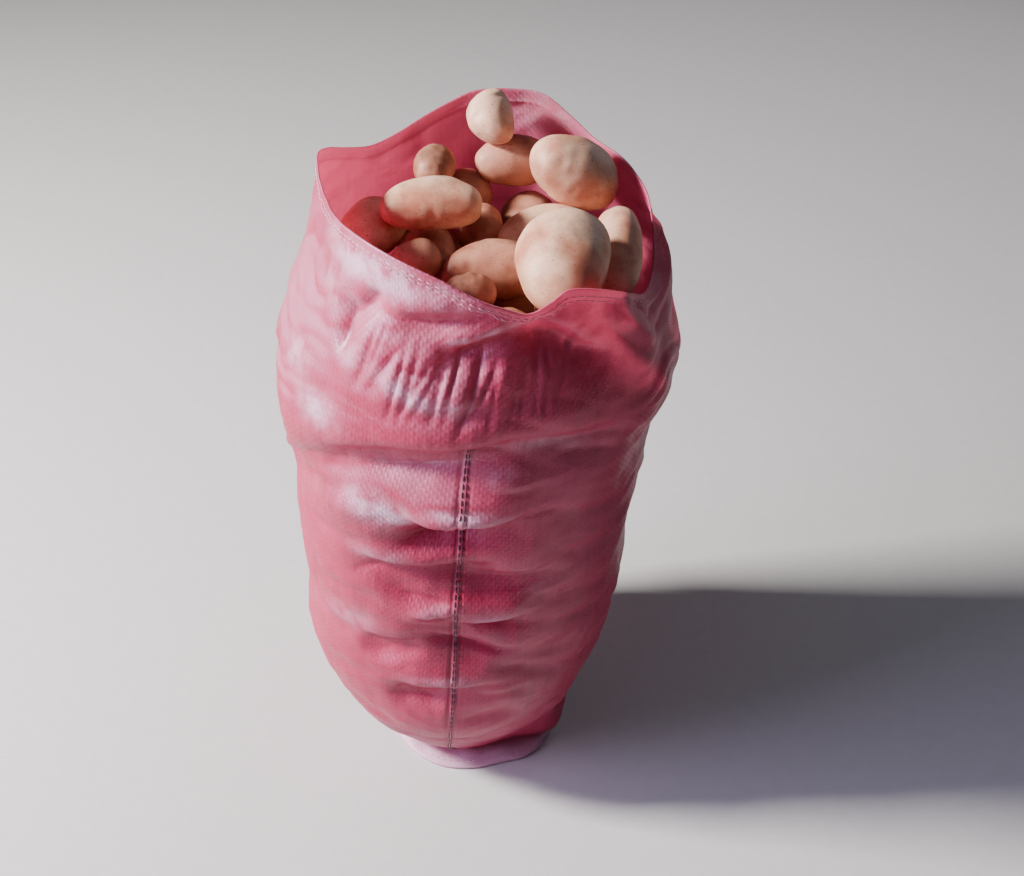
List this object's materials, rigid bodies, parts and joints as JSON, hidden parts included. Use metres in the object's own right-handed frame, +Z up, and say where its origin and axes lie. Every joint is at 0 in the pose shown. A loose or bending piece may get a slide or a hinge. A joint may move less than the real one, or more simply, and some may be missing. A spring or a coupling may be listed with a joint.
{
  "type": "potato sack",
  "caption": "Tall sack woven from red tape, standing open at the top and full of loose potatoes, with a slumped mouth and a bulging belly.",
  "frame": {"origin": "on the floor under the middle of the sack's foot", "axes": "+Z up out of the mouth, -Y towards the front, where the mouth's edge has its notch, +X to the right as seen from the front"},
  "size_m": [0.3563, 0.3325, 0.6583],
  "materials": {
    "woven_cloth": "woven polypropylene tape, soft sheen",
    "potato_skin": "matt potato skin",
    "packed_potatoes": "matt potato skin in shade"
  },
  "bodies": {
    "root": {"potato_back_dark": "potato_skin", "potato_back_left_low": "potato_skin", "potato_back_low": "potato_skin", "potato_back_small": "potato_skin", "potato_back_top": "potato_skin", "potato_front_egg": "potato_skin", "potato_front_gap": "potato_skin", "potato_front_left_low": "potato_skin", "potato_front_low": "potato_skin", "potato_front_lying": "potato_skin", "potato_front_small": "potato_skin", "potato_left_low": "potato_skin", "potato_left_oval": "potato_skin", "potato_left_red": "potato_skin", "potato_middle_shaded": "potato_skin", "potato_right_back": "potato_skin", "potato_right_back_low": "potato_skin", "potato_right_flat": "potato_skin", "potato_right_shaded": "potato_skin", "potato_under_egg": "potato_skin", "potato_under_oval": "potato_skin", "potatoes_below": "packed_potatoes", "sack": "woven_cloth"}
  },
  "joints": []
}
